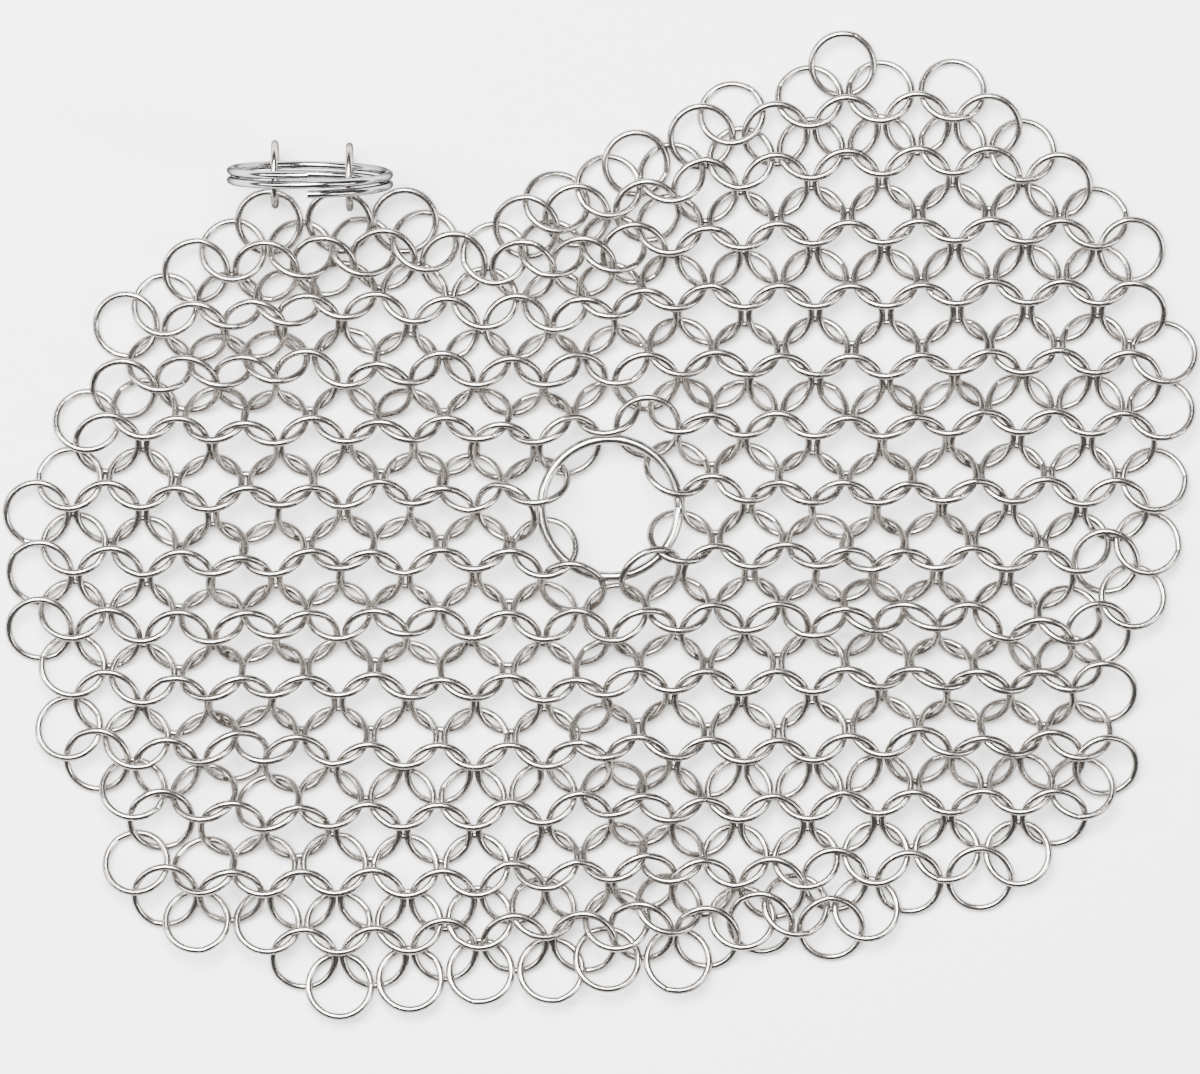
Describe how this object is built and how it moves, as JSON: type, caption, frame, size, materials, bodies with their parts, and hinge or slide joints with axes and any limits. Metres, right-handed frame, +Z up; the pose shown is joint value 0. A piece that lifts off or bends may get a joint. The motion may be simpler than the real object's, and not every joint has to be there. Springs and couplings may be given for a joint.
{
  "type": "chainmail scrubber",
  "caption": "Round mat of linked steel rings for scouring pans, gathered on a larger centre ring, with a split ring on its edge to hang it by.",
  "frame": {"origin": "middle of the plan, on the surface that the mat lies on", "axes": "+Z up out of the surface, X along the fold lines, +Y towards the far edge, where the split ring stands to the left"},
  "size_m": [0.167, 0.142, 0.0265],
  "materials": {
    "mail_steel": "tumbled bright stainless wire",
    "centre_ring_steel": "bright stainless wire",
    "split_ring_steel": "polished"
  },
  "bodies": {
    "near_edge_strip": {"near_edge_mail_1": "mail_steel", "near_edge_mail_2": "mail_steel", "near_edge_mail_3": "mail_steel", "near_edge_mail_4": "mail_steel", "near_edge_mail_5": "mail_steel"},
    "near_outer_strip": {"near_outer_mail_1": "mail_steel", "near_outer_mail_2": "mail_steel", "near_outer_mail_3": "mail_steel", "near_outer_mail_4": "mail_steel", "near_outer_mail_5": "mail_steel", "near_outer_mail_6": "mail_steel", "near_outer_mail_7": "mail_steel", "near_outer_mail_8": "mail_steel"},
    "near_inner_strip": {"near_inner_mail_1": "mail_steel", "near_inner_mail_10": "mail_steel", "near_inner_mail_2": "mail_steel", "near_inner_mail_3": "mail_steel", "near_inner_mail_4": "mail_steel", "near_inner_mail_5": "mail_steel", "near_inner_mail_6": "mail_steel", "near_inner_mail_7": "mail_steel", "near_inner_mail_8": "mail_steel", "near_inner_mail_9": "mail_steel"},
    "middle_strip": {"middle_mail_1": "mail_steel", "middle_mail_10": "mail_steel", "middle_mail_11": "mail_steel", "middle_mail_12": "mail_steel", "middle_mail_13": "mail_steel", "middle_mail_14": "mail_steel", "middle_mail_15": "mail_steel", "middle_mail_2": "mail_steel", "middle_mail_3": "mail_steel", "middle_mail_4": "mail_steel", "middle_mail_5": "mail_steel", "middle_mail_6": "mail_steel", "middle_mail_7": "mail_steel", "middle_mail_8": "mail_steel", "middle_mail_9": "mail_steel"},
    "far_inner_strip": {"far_inner_mail_1": "mail_steel", "far_inner_mail_2": "mail_steel", "far_inner_mail_3": "mail_steel", "far_inner_mail_4": "mail_steel", "far_inner_mail_5": "mail_steel", "far_inner_mail_6": "mail_steel", "far_inner_mail_7": "mail_steel", "far_inner_mail_8": "mail_steel"},
    "far_outer_strip": {"far_outer_mail_1": "mail_steel", "far_outer_mail_2": "mail_steel", "far_outer_mail_3": "mail_steel", "far_outer_mail_4": "mail_steel", "far_outer_mail_5": "mail_steel", "far_outer_mail_6": "mail_steel", "hanger_ring_left": "mail_steel", "hanger_ring_right": "mail_steel"},
    "far_edge_strip": {"far_edge_mail_1": "mail_steel"},
    "centre_ring": {"centre_ring": "centre_ring_steel"},
    "split_ring": {"split_ring": "split_ring_steel"}
  },
  "joints": [
    {"name": "near_inner_fold", "type": "hinge", "parent": "middle_strip", "child": "near_inner_strip", "pos_m": [0, -0.01482, 0.0015], "axis": [-1, 0, 0], "range_deg": [0, 9]},
    {"name": "near_outer_fold", "type": "hinge", "parent": "near_inner_strip", "child": "near_outer_strip", "pos_m": [0, -0.03482, 0.0015], "axis": [-1, 0, 0], "range_deg": [0, 11]},
    {"name": "near_edge_fold", "type": "hinge", "parent": "near_outer_strip", "child": "near_edge_strip", "pos_m": [0, -0.05532, 0.0025], "axis": [-1, 0, 0], "range_deg": [0, 5]},
    {"name": "far_inner_fold", "type": "hinge", "parent": "middle_strip", "child": "far_inner_strip", "pos_m": [0, 0.02118, 0.0025], "axis": [1, 0, 0], "range_deg": [0, 8]},
    {"name": "far_outer_fold", "type": "hinge", "parent": "far_inner_strip", "child": "far_outer_strip", "pos_m": [0, 0.03868, 0.0025], "axis": [1, 0, 0], "range_deg": [0, 6]},
    {"name": "far_edge_fold", "type": "hinge", "parent": "far_outer_strip", "child": "far_edge_strip", "pos_m": [0, 0.05718, 0.0025], "axis": [1, 0, 0], "range_deg": [0, 7]},
    {"name": "centre_ring_spin", "type": "hinge", "parent": "middle_strip", "child": "centre_ring", "pos_m": [0.00144, 0.00218, 0.0042], "axis": [0, 0, 1], "continuous": true},
    {"name": "split_ring_swing", "type": "hinge", "parent": "far_outer_strip", "child": "split_ring", "pos_m": [-0.04065, 0.05036, 0.00495], "axis": [-1, 0, 0], "range_deg": [0, 100]}
  ]
}
